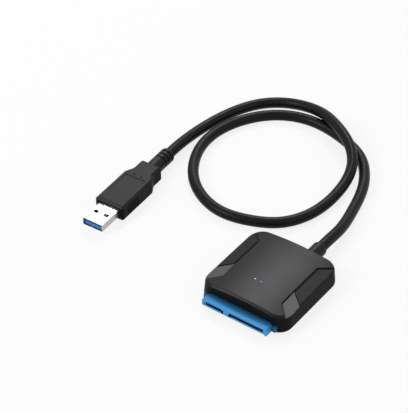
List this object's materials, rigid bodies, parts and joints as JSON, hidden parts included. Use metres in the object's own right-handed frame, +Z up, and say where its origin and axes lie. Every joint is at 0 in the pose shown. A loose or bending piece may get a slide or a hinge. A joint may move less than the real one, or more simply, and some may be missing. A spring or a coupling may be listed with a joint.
{
  "type": "usb to sata adapter",
  "caption": "Adapter lead with a flat rounded case that holds a SATA data and power receptacle, and a short moulded cable that lies in a loop to a USB A plug.",
  "frame": {"origin": "centre of the case's flat underside, on the surface that it lies on", "axes": "+Z up; -Y out of the SATA receptacle's mouth; +Y towards the cable boot; +X to the power end of the receptacle"},
  "size_m": [0.1306, 0.1589, 0.0122],
  "materials": {
    "case_plastic": "fine satin texture",
    "connector_plastic": "satin",
    "contact_metal": "gold plated",
    "board": "solder mask over glass epoxy",
    "chip": "matt epoxy",
    "can_metal": "bright",
    "inductor_core": "ferrite, matt",
    "capacitor_body": "ceramic, satin",
    "red_lamp": "clear red",
    "blue_lamp": "clear blue",
    "clear_plastic": "clear",
    "cable_plastic": "satin",
    "shell_metal": "bright nickel plating",
    "wire_red": "satin",
    "wire_white": "satin",
    "wire_green": "satin",
    "wire_black": "satin",
    "wire_blue": "satin",
    "wire_yellow": "satin",
    "wire_violet": "satin",
    "wire_orange": "satin"
  },
  "bodies": {
    "root": {"top_shell": "case_plastic", "bottom_shell": "case_plastic", "sata_housing": "connector_plastic", "sata_contact_01": "contact_metal", "sata_contact_02": "contact_metal", "sata_contact_03": "contact_metal", "sata_contact_04": "contact_metal", "sata_contact_05": "contact_metal", "sata_contact_06": "contact_metal", "sata_contact_07": "contact_metal", "sata_contact_08": "contact_metal", "sata_contact_09": "contact_metal", "sata_contact_10": "contact_metal", "sata_contact_11": "contact_metal", "sata_contact_12": "contact_metal", "sata_contact_13": "contact_metal", "sata_contact_14": "contact_metal", "sata_contact_15": "contact_metal", "sata_contact_16": "contact_metal", "sata_contact_17": "contact_metal", "sata_contact_18": "contact_metal", "sata_contact_19": "contact_metal", "sata_contact_20": "contact_metal", "sata_contact_21": "contact_metal", "sata_contact_22": "contact_metal", "circuit_board": "board", "bridge_chip": "chip", "firmware_chip": "chip", "crystal": "can_metal", "power_inductor": "inductor_core", "capacitor_1": "capacitor_body", "capacitor_2": "capacitor_body", "capacitor_3": "capacitor_body", "led_red": "red_lamp", "led_blue": "blue_lamp", "light_pipe_red": "clear_plastic", "light_pipe_blue": "clear_plastic", "cable_boot": "cable_plastic", "cable": "cable_plastic", "usb_overmold": "cable_plastic", "usb_shell": "shell_metal", "usb_insulator": "connector_plastic", "usb_flat_contact_1": "contact_metal", "usb_flat_contact_2": "contact_metal", "usb_flat_contact_3": "contact_metal", "usb_flat_contact_4": "contact_metal", "usb_spring_contact_1": "contact_metal", "usb_spring_contact_2": "contact_metal", "usb_spring_contact_3": "contact_metal", "usb_spring_contact_4": "contact_metal", "usb_spring_contact_5": "contact_metal", "wire_red": "wire_red", "wire_white": "wire_white", "wire_green": "wire_green", "wire_black": "wire_black", "wire_blue": "wire_blue", "wire_yellow": "wire_yellow", "wire_violet": "wire_violet", "wire_orange": "wire_orange"}
  },
  "joints": []
}
